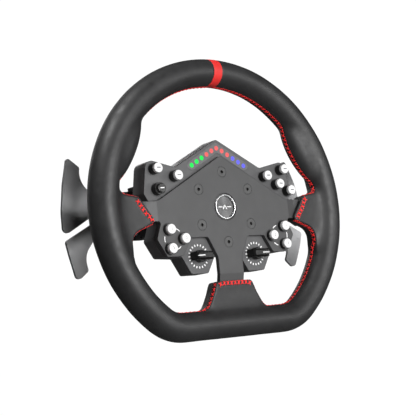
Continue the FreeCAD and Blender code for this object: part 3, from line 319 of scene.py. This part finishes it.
finishes = {
    "plate_metal": coated("satin_plate", (0.06, 0.06, 0.061), 0.55, 0.1, edge=1.2),
    "grip_foam": moulded("moulded_foam", (0.05, 0.05, 0.05), 0.8, 1.2, 0.1),
    "leather_black": leather("black_leather", (0.017, 0.017, 0.0175), 0.52),
    "leather_red": leather("red_leather", (0.62, 0.02, 0.018), 0.6),
    "housing_plastic": moulded("housing_grey", (0.078, 0.078, 0.08), 0.55, edge=1.4),
    "smoked_window": glossed("smoked_grey", (0.105, 0.105, 0.108), 0.4),
    "light_green": glowing("lit_green", (0.01, 1.0, 0.12), 1.0),
    "light_red": glowing("lit_red", (1.0, 0.15, 0.15), 1.0),
    "light_blue": glowing("lit_blue", (0.17, 0.17, 1.0), 1.0),
    "circuit_board": circuit("solder_mask"),
    "black_steel": coated("black_oxide", (0.045, 0.045, 0.045), 0.42, 0.6),
    "badge_chrome": coated("bright_chrome", (0.8, 0.8, 0.81), 0.27, 1.0, 0.18, 0.0004),
    "badge_metal": turned("spun_disc", (0.075, 0.075, 0.076), 0.26, 0.5, 0.0005),
    "adapter_metal": turned("turned_aluminium", (0.55, 0.55, 0.56), 0.35),
    "sleeve_black": moulded("black_sleeve", (0.004, 0.004, 0.004), 0.36, 0.3, 0.004),
    "cap_white": glossed("white_cap", (0.72, 0.72, 0.72), 0.3),
    "cap_black": glossed("black_cap", (0.02, 0.02, 0.02), 0.25),
    "encoder_metal": brushed("plated_steel", (0.5, 0.5, 0.5), 0.3),
    "knob_black": glossed("black_knob", (0.005, 0.005, 0.005), 0.3, Specular_IOR_Level=0.25),
    "base_black": coated("black_anodised", (0.018, 0.018, 0.018), 0.4, 0.5),
    "steel": brushed("bright_steel", (0.5, 0.5, 0.51), 0.28),
    "blade_metal": coated("grey_anodised", (0.31, 0.31, 0.315), 0.38, 0.9, 0.12, 0.001),
    "socket_metal": turned("clear_anodised", (0.5, 0.5, 0.51), 0.32),
    "collar_metal": coated("black_collar", (0.02, 0.02, 0.02), 0.35, 0.7),
}
red_thread = thread("red_thread", (0.9, 0.008, 0.008))
white_print = moulded("white_print", (0.8, 0.8, 0.8), 0.6, 0.5, 0.004)
grey_print = moulded("grey_print", (0.16, 0.16, 0.17), 0.6, 0.5, 0.004)
slot_of = {row["node"]: row["material_slot"] for row in frame["record"]["subparts"]}
for name, cad in nodes.items():
    for slot in cad.material_slots:
        slot.material = finishes[slot_of[name]]
screw_socket_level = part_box("wheel_frame")[0].y + 0.3 * mm
# Painted shade: the hub screws' sockets are darkened in their base colour.
nodes["hub_screws"].material_slots[0].material = screw_head(
    "hub_screw_grey", (0.07, 0.07, 0.07), screw_socket_level)
# Painted highlight on the rear housing's upward-facing vented slopes.
nodes["rear_housing"].material_slots[0].material = housing_with_top_highlight(
    "vented_housing", (0.075, 0.075, 0.077), (0.75, 0.75, 0.76))

# ---------------------------------------------------------------- helpers


def new_piece(name, mesh, material, body="wheel", smooth=True):
    """A piece made from a mesh, riding on a body."""
    piece = bpy.data.objects.new(name, mesh)
    collection.objects.link(piece)
    mesh.materials.clear()
    mesh.materials.append(material)
    for polygon in mesh.polygons:
        polygon.use_smooth = smooth
    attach(piece, body)
    return piece


def tree_of(objects):
    """One search tree over the surfaces of several objects that sit at the origin."""
    joined = bmesh.new()
    for thing in objects:
        joined.from_mesh(thing.data)
    tree = BVHTree.FromBMesh(joined)
    joined.free()
    return tree


def front_at(tree, x, z):
    """The y of the first surface that the driver sees at x, z."""
    driver_y = -300 * mm
    hit = tree.ray_cast(Vector((x, driver_y, z)), Vector((0, 1, 0)))[0]
    return hit.y


def directions_along(points):
    """The direction of a run of points at each of them."""
    last = len(points) - 1
    for index in range(len(points)):
        before = points[max(index - 1, 0)]
        after = points[min(index + 1, last)]
        yield (after - before).normalized()


def tube(mesh, points, radius, up, sides=7):
    """Sweeps a round section along points, closed at both ends."""
    rings = []
    for point, along in zip(points, directions_along(points)):
        across = along.cross(up).normalized()
        over = across.cross(along)
        rings.append([mesh.verts.new(point + (across * math.cos(turn) + over * math.sin(turn)) * radius)
                      for turn in (math.tau * step / sides for step in range(sides))])
    for low, high in zip(rings, rings[1:]):
        for index in range(sides):
            following = (index + 1) % sides
            mesh.faces.new((low[index], low[following], high[following], high[index]))
    mesh.faces.new(list(reversed(rings[0])))
    mesh.faces.new(rings[-1])


def slab(mesh, outline, front, back):
    """A flat plate with a given outline of (x, z) points, from y = front to y = back."""
    near_side = [mesh.verts.new((x, front, z)) for x, z in outline]
    far_side = [mesh.verts.new((x, back, z)) for x, z in outline]
    mesh.faces.new(near_side)
    mesh.faces.new(list(reversed(far_side)))
    for index in range(len(outline)):
        following = (index + 1) % len(outline)
        mesh.faces.new((near_side[following], near_side[index], far_side[index], far_side[following]))


def bar(middle, along, length, width, steps=4):
    """The outline of a bar with round ends, centred on middle and turned along an angle."""
    points = []
    for end, start in ((1, -90), (-1, 90)):
        for step in range(steps + 1):
            turn = math.radians(start + 180 * step / steps)
            x = end * (length - width) / 2 + math.cos(turn) * width / 2
            z = math.sin(turn) * width / 2
            points.append((middle[0] + x * math.cos(along) - z * math.sin(along),
                           middle[1] + x * math.sin(along) + z * math.cos(along)))
    return points


def arc_band(middle, radius, width, start, stop, steps=8):
    """The outline of a curved band about middle, between two angles in degrees."""
    def rim(distance, turn):
        angle = math.radians(turn)
        return (middle[0] + distance * math.cos(angle), middle[1] + distance * math.sin(angle))
    turns = [start + (stop - start) * step / steps for step in range(steps + 1)]
    return [rim(radius + width / 2, turn) for turn in turns] + \
        [rim(radius - width / 2, turn) for turn in reversed(turns)]


def finished(mesh_builder, name):
    """A clean mesh from a bmesh."""
    bmesh.ops.recalc_face_normals(mesh_builder, faces=mesh_builder.faces)
    mesh = bpy.data.meshes.new(name)
    mesh_builder.to_mesh(mesh)
    mesh_builder.free()
    return mesh


# ---------------------------------------------------------------- leather grip

# The depths at which the seam's guide points lie, on the rim and on the spokes' covered ends.
rim_y = sum(corner.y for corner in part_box("grip_leather")) / 2
boss_y = rim_y - 4.5 * mm

voxel = 1.1 * mm
soften_passes = 7
skin_depth = 2.6 * mm
fill_passes = 160
stitch_pitch = 4.7 * mm
stitch_width = 4.4 * mm
thread_radius = 0.62 * mm


def rounded_copy(name, sources, size, passes):
    """The joined shape of several CAD nodes as one even mesh with softened edges."""
    joined = bmesh.new()
    for source in sources:
        joined.from_mesh(nodes[source].data)
    mesh = bpy.data.meshes.new(f"{name}_joined")
    joined.to_mesh(mesh)
    joined.free()
    shape = bpy.data.objects.new(f"{name}_shape", mesh)
    collection.objects.link(shape)
    remesh = shape.modifiers.new("even", "REMESH")
    remesh.mode = "VOXEL"
    remesh.voxel_size = size
    smooth = shape.modifiers.new("soften", "SMOOTH")
    smooth.factor = 0.5
    smooth.iterations = passes
    bpy.context.view_layer.update()
    evaluated = shape.evaluated_get(bpy.context.evaluated_depsgraph_get())
    result = bpy.data.meshes.new_from_object(evaluated)
    bpy.data.objects.remove(shape)
    return result


def rays_round(start, stop, step):
    """Guide points on the inner side of the rim, as angles from the hub in degrees."""
    count = max(1, round(abs(stop - start) / step))
    return [("ray", start + (stop - start) * index / count) for index in range(count + 1)]


def seam_guides():
    """Guide points for the right half of the seam: over the top, and under the side spoke.

    They are ("ray", degrees), ("at", x, z) near a spoke's end, or ("flat", x) along the flat bottom, in mm.
    """
    above = rays_round(90, 13, 3)
    above += [("at", 117.5, 13.6), ("at", 113, 11.2), ("at", 107, 10.3), ("at", 101.5, 9.6)]
    below = [("at", 87, -15), ("at", 92, -17), ("at", 98, -19.5), ("at", 103.5, -22), ("at", 108, -26),
             ("at", 111, -31), ("at", 112, -38)]
    below += rays_round(-22, -57, 3) + [("flat", 62), ("flat", 50), ("flat", 43)]
    below += [("at", 34.5, -100), ("at", 30.5, -96), ("at", 27, -90), ("at", 24, -84), ("at", 22, -78),
              ("at", 21.5, -74.5)]
    return above, below


def on_surface(tree, guide, side):
    """The place of a guide point on the leather. Rays start inside the rim's opening."""
    kind, first = guide[:2]
    if kind == "ray":
        turn = math.radians(first)
        hub = Vector((0, rim_y, 0))
        heading = Vector((side * math.cos(turn), 0, math.sin(turn)))
        return tree.ray_cast(hub + heading * (100 * mm), heading)[0]
    if kind == "flat":
        start = Vector((side * first * mm, rim_y, -90 * mm))
        return tree.ray_cast(start, Vector((0, 0, -1)))[0]
    return tree.find_nearest(Vector((side * first * mm, boss_y, guide[2] * mm)))[0]


def evenly(points, pitch):
    """The same line with points an even pitch apart."""
    lengths = [0.0]
    for start, end in zip(points, points[1:]):
        lengths.append(lengths[-1] + (end - start).length)
    count = max(1, round(lengths[-1] / pitch))
    result, index = [], 0
    for step in range(count + 1):
        wanted = lengths[-1] * step / count
        while index < len(points) - 2 and lengths[index + 1] < wanted:
            index += 1
        span = max(lengths[index + 1] - lengths[index], 1e-9)
        result.append(points[index].lerp(points[index + 1], (wanted - lengths[index]) / span))
    return result


def seam_lines(tree):
    """Every line of cross stitches, as evenly spaced points: along the rim and across the spokes' ends."""
    above, below = seam_guides()
    tops, rest = [], []
    for side in (-1, 1):
        tops.append([on_surface(tree, guide, side) for guide in above])
        rest.append([on_surface(tree, guide, side) for guide in below])
        rest.append(end_line(side * 103.6, 8.4, side * 87.6, -13.6))
    over_the_top = list(reversed(tops[0])) + tops[1][1:]
    lines = [over_the_top] + rest + [end_line(-20, -75.9, 20, -75.9)]
    return [evenly(line, stitch_pitch) for line in lines]


def end_line(x1, z1, x2, z2):
    """A straight line of stitches across the front of a spoke's covered end."""
    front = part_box("grip_leather")[0].y
    return [Vector((x1 * mm, front, z1 * mm)), Vector((x2 * mm, front, z2 * mm))]


def fill_hollows(mesh):
    """Lets the leather bridge the hollows where the spokes' ends and the thumb swells run into the rim.

    Each pass moves a point halfway to its neighbours' middle, but only outward. Points that lie within
    skin_depth of the metal stay.
    """
    passes_per_normal = 8
    count = len(mesh.vertices)
    spots = np.empty(count * 3)
    mesh.vertices.foreach_get("co", spots)
    spots = spots.reshape(-1, 3)
    ends = np.empty(len(mesh.edges) * 2, dtype=int)
    mesh.edges.foreach_get("vertices", ends)
    first, second = ends.reshape(-1, 2).T
    links = np.bincount(ends, minlength=count)[:, None]
    frame_tree = tree_of([nodes["wheel_frame"]])
    outside = np.array([frame_tree.find_nearest(spot, skin_depth)[0] is None for spot in spots])
    normals = np.empty(count * 3)
    for turn in range(fill_passes):
        if turn % passes_per_normal == 0:
            mesh.vertices.foreach_set("co", spots.ravel())
            mesh.update()
            mesh.vertices.foreach_get("normal", normals)
        total = [np.bincount(first, spots[second, axis], count)
                 + np.bincount(second, spots[first, axis], count) for axis in range(3)]
        pull = np.stack(total, axis=1) / links - spots
        facing = normals.reshape(-1, 3)
        outward = np.clip((pull * facing).sum(axis=1), 0, None) * outside
        spots += facing * outward[:, None] * 0.5
    mesh.vertices.foreach_set("co", spots.ravel())
    mesh.update()


def dress(mesh):
    """Gives the wrapped leather its slight unevenness, and pulls it in along the seam. Sizes are in mm."""
    groove_depth, groove_width = 0.55, 0.8
    welt_height, welt_away, welt_width = 0.22, 3.0, 1.3
    tree = BVHTree.FromPolygons([v.co for v in mesh.vertices], [tuple(p.vertices) for p in mesh.polygons])
    lines = seam_lines(tree)
    seam = [point for line in lines for point in evenly(line, mm)]
    seam = [tree.find_nearest(point)[0] for point in seam]
    places = KDTree(len(seam))
    for index, point in enumerate(seam):
        places.insert(point, index)
    places.balance()
    moved = np.empty(len(mesh.vertices) * 3)
    for index, vertex in enumerate(mesh.vertices):
        away = places.find(vertex.co)[2] / mm
        groove = groove_depth * math.exp(-(away / groove_width) ** 2)
        welt = welt_height * math.exp(-((away - welt_away) / welt_width) ** 2)
        soft = noise.noise(vertex.co * 38) * 0.16 + noise.noise(vertex.co * 120) * 0.05
        moved[index * 3:index * 3 + 3] = vertex.co + vertex.normal * (soft - (groove - welt)) * mm
    mesh.vertices.foreach_set("co", moved)
    mesh.update()
    return lines


def stitch_lines(mesh, lines):
    """Crossed threads along every seam line, lying on the leather, the second over the first."""
    steps = 6
    slant = 0.62
    sunk = 0.25 * mm
    tree = BVHTree.FromPolygons([v.co for v in mesh.vertices], [tuple(p.vertices) for p in mesh.polygons])
    threads = bmesh.new()
    for line in lines:
        line = [tree.find_nearest(point)[0] for point in line]
        for start, end in zip(line, line[1:]):
            middle = (start + end) / 2
            up = tree.find_nearest(middle)[1]
            along = end - start
            across = along.cross(up).normalized() * stitch_width / 2
            for way, lift in ((1, 0.55), (-1, 0.85)):
                path = []
                for step in range(steps + 1):
                    share = step / steps
                    spot = middle + along * (share - 0.5) * slant + across * way * (share * 2 - 1)
                    place, facing = tree.find_nearest(spot)[:2]
                    height = lift * math.sin(math.pi * share) ** 0.6 * mm - sunk
                    path.append(place + facing * height)
                tube(threads, path, thread_radius, up)
    return finished(threads, "grip_stitches")


def make_grip():
    """Leather over the foam, its stitching, and the band at the top of the rim."""
    wrap_mesh = rounded_copy("grip_wrap", ["grip_leather", "grip_foam"], voxel, soften_passes)
    fill_hollows(wrap_mesh)
    lines = dress(wrap_mesh)
    wrap = new_piece("grip_wrap", wrap_mesh, finishes["leather_black"])
    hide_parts("grip_leather")
    new_piece("grip_stitches", stitch_lines(wrap_mesh, lines), red_thread)
    band_mesh = rounded_copy("grip_band", ["centre_stripe"], 0.45 * mm, 3)
    band = new_piece("grip_band", band_mesh, finishes["leather_red"])
    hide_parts("centre_stripe")


def make_coil():
    """The collar's spring between the flange and the collar, as a piece of its own copied from the CAD coil.
    """
    source = nodes["collar_spring"]
    mesh = source.data.copy()
    mesh.transform(source.matrix_world)
    coil = new_piece("collar_coil", mesh, finishes["steel"])
    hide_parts("collar_spring")
    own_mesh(coil)


make_grip()
make_coil()

# ---------------------------------------------------------------- printed marks

print_height = 0.08 * mm
housing_tree = tree_of([nodes["front_housing"], nodes["wheel_frame"]])


def printed(name, outlines, material, body="wheel"):
    """Flat printed marks: each is (outline, y of the surface it lies on)."""
    marks = bmesh.new()
    for outline, y in outlines:
        slab(marks, outline, y - print_height, y + print_height)
    return new_piece(name, finished(marks, name), material, body, smooth=False)


def box_middle(node):
    low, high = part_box(node)
    return (low + high) / 2


def dial_marks():
    """A ring of ticks round each dial, and the white pointer on its knob."""
    tick_count = 20
    tick_circle = 10.9 * mm
    tick_length, tick_width = 2.3 * mm, 1.25 * mm
    pointer_length, pointer_width = 8.5 * mm, 0.95 * mm
    pointer_reach = 0.58
    for side, end in ((-1, "left"), (1, "right")):
        knob = f"dial_knob_{end}"
        middle = box_middle(f"dial_shaft_{end}")
        face = front_at(housing_tree, middle.x, middle.z + tick_circle)
        ticks = []
        for index in range(tick_count):
            turn = math.tau * index / tick_count
            spot = (middle.x + tick_circle * math.cos(turn), middle.z + tick_circle * math.sin(turn))
            ticks.append((bar(spot, turn, tick_length, tick_width), face))
        printed(f"dial_ticks_{end}", ticks, white_print)
        spot = (middle.x + side * pointer_length * pointer_reach, middle.z)
        pointer = (bar(spot, 0, pointer_length, pointer_width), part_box(knob)[0].y)
        printed(f"dial_pointer_{end}", [pointer], white_print, f"dial_{end}")


def trio_marks():
    """Short arcs between the three lower buttons on each side."""
    arcs = []
    arc_circle = 10.4 * mm
    arc_width = 0.9 * mm
    half_arc = 15
    for side, end in ((-1, "left"), (1, "right")):
        spots = [box_middle(f"trio_{end}_{place}") for place in ("upper", "side", "lower")]
        middle = sum(spots, Vector()) / 3
        centre = (middle.x, middle.z)
        outward = 0 if side > 0 else 180
        for turn in (outward, outward + 120, outward - 120):
            along = math.radians(turn)
            y = front_at(housing_tree, centre[0] + arc_circle * math.cos(along),
                         centre[1] + arc_circle * math.sin(along))
            arcs.append((arc_band(centre, arc_circle, arc_width, turn - half_arc, turn + half_arc), y))
    printed("trio_arcs", arcs, white_print)


def cap_marks():
    """A small number or a dash on each button."""
    numbers = {"upper": "1", "side": "2", "lower": "3"}
    number_height = 4.2 * mm
    dash_length, dash_width = 4.4 * mm, 1.1 * mm
    for cap in sorted(nodes):
        if not cap.startswith(("trio_", "button_l", "button_r", "button_m")) or cap == "button_sleeves":
            continue
        middle = box_middle(cap)
        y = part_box(cap)[0].y
        if cap.startswith("trio_"):
            letters = bpy.data.curves.new(f"{cap}_number", "FONT")
            letters.body = numbers[cap.split("_")[-1]]
            letters.size = number_height
            letters.align_x = "CENTER"
            letters.align_y = "CENTER"
            letters.extrude = print_height / 2
            flat = bpy.data.objects.new(f"{cap}_letters", letters)
            collection.objects.link(flat)
            bpy.context.view_layer.update()
            mesh = bpy.data.meshes.new_from_object(flat.evaluated_get(bpy.context.evaluated_depsgraph_get()))
            bpy.data.objects.remove(flat)
            mesh.transform(Matrix.Translation((middle.x, y, middle.z)) @ Matrix.Rotation(math.pi / 2, 4, "X"))
            new_piece(f"{cap}_mark", mesh, grey_print, cap, smooth=False)
        else:
            material = white_print if cap == "button_menu" else grey_print
            dash = bar((middle.x, middle.z), 0, dash_length, dash_width)
            printed(f"{cap}_mark", [(dash, y)], material, cap)


def emblem():
    """A plain emblem on the hub badge: a chevron between two bars."""
    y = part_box("badge_disc")[0].y
    bar_length, bar_width, bar_away = 5.2 * mm, 0.9 * mm, 5.4 * mm
    leg_length, leg_width, leg_away = 5.6 * mm, 1.0 * mm, 1.1 * mm
    leg_slope = math.radians(-62)
    shapes = [(bar((side * bar_away, 0), 0, bar_length, bar_width), y) for side in (-1, 1)]
    shapes += [(bar((side * leg_away, 0), side * leg_slope, leg_length, leg_width), y) for side in (-1, 1)]
    printed("badge_emblem", shapes, white_print)


dial_marks()
trio_marks()
cap_marks()
emblem()

# ---------------------------------------------------------------- camera, light and floor


def make_camera():
    """A camera at the driver's left, a little below the hub and looking slightly up at it."""
    yaw, pitch, roll = math.radians(36.574), math.radians(6.559), math.radians(5.827)
    forward = Vector((math.sin(yaw) * math.cos(pitch), math.cos(yaw) * math.cos(pitch), math.sin(pitch)))
    right = Vector((math.cos(yaw), -math.sin(yaw), 0))
    down = forward.cross(right)
    across = math.cos(roll) * right + math.sin(roll) * down
    below = math.cos(roll) * down - math.sin(roll) * right
    data = bpy.data.cameras.new("camera")
    data.lens = 92.48
    data.sensor_width = 36
    camera = bpy.data.objects.new("camera", data)
    place = Vector((-0.63972, -0.92132, -0.12036))
    turn = Matrix((across, -below, -forward)).transposed().to_4x4()
    camera.matrix_world = Matrix.Translation(place) @ turn
    collection.objects.link(camera)
    bpy.context.scene.camera = camera


def area_light(name, place, target, width, height, power):
    data = bpy.data.lights.new(name, "AREA")
    data.shape = "RECTANGLE"
    data.size = width
    data.size_y = height
    data.energy = power
    light = bpy.data.objects.new(name, data)
    light.location = place
    light.rotation_mode = "QUATERNION"
    light.rotation_quaternion = (Vector(target) - Vector(place)).to_track_quat("-Z", "Y")
    collection.objects.link(light)


def make_studio():
    """Soft boxes in front, above and behind. The pale room and floor are bright to the camera only."""
    hub = (0, -0.05, 0)
    room_light, seen_white = 0.03, 1.05
    floor_drop, floor_radius = 0.45, 30
    area_light("front_box", (-0.1, -2.2, 0.1), hub, 1.2, 1.2, 62)
    area_light("right_box", (1.3, -1.7, 0.05), hub, 0.7, 0.5, 7)
    area_light("top_box", (-1.1, -0.1, 1.8), hub, 0.8, 0.8, 34)
    area_light("rear_box", (0.2, 2.1, 0.9), hub, 1.4, 1.4, 9)
    world = bpy.data.worlds.new("pale_room")
    world.use_nodes = True
    bpy.context.scene.world = world
    tree = world.node_tree
    background = tree.nodes["Background"]
    background.inputs["Color"].default_value = (1, 1, 1, 1)
    seen = tree.nodes.new("ShaderNodeLightPath")
    strength = tree.nodes.new("ShaderNodeMapRange")
    strength.inputs["To Min"].default_value = room_light
    strength.inputs["To Max"].default_value = seen_white
    tree.links.new(seen.outputs["Is Camera Ray"], strength.inputs["Value"])
    tree.links.new(strength.outputs["Result"], background.inputs["Strength"])
    floor_mesh = bpy.data.meshes.new("floor")
    builder = bmesh.new()
    bmesh.ops.create_circle(builder, cap_ends=True, segments=96, radius=floor_radius)
    builder.to_mesh(floor_mesh)
    builder.free()
    floor = bpy.data.objects.new("floor", floor_mesh)
    floor.location = (0, 0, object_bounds()[0].z - floor_drop)
    collection.objects.link(floor)
    made = Shader("pale_floor", Roughness=0.9, Specular_IOR_Level=0.0, Emission_Color=(1, 1, 1, 1))
    made.tint(made.noise(900, 3), (0.16, 0.16, 0.16), (0.18, 0.18, 0.18))
    seen = made.add("ShaderNodeLightPath")
    seen_only = made.ramp(seen.outputs["Is Camera Ray"], 0.0, 1.0, 0, 1)
    made.link(seen_only, made.shader.inputs["Emission Strength"])
    floor_mesh.materials.append(made.material)
    bpy.context.scene.view_settings.view_transform = "Standard"


make_camera()
make_studio()
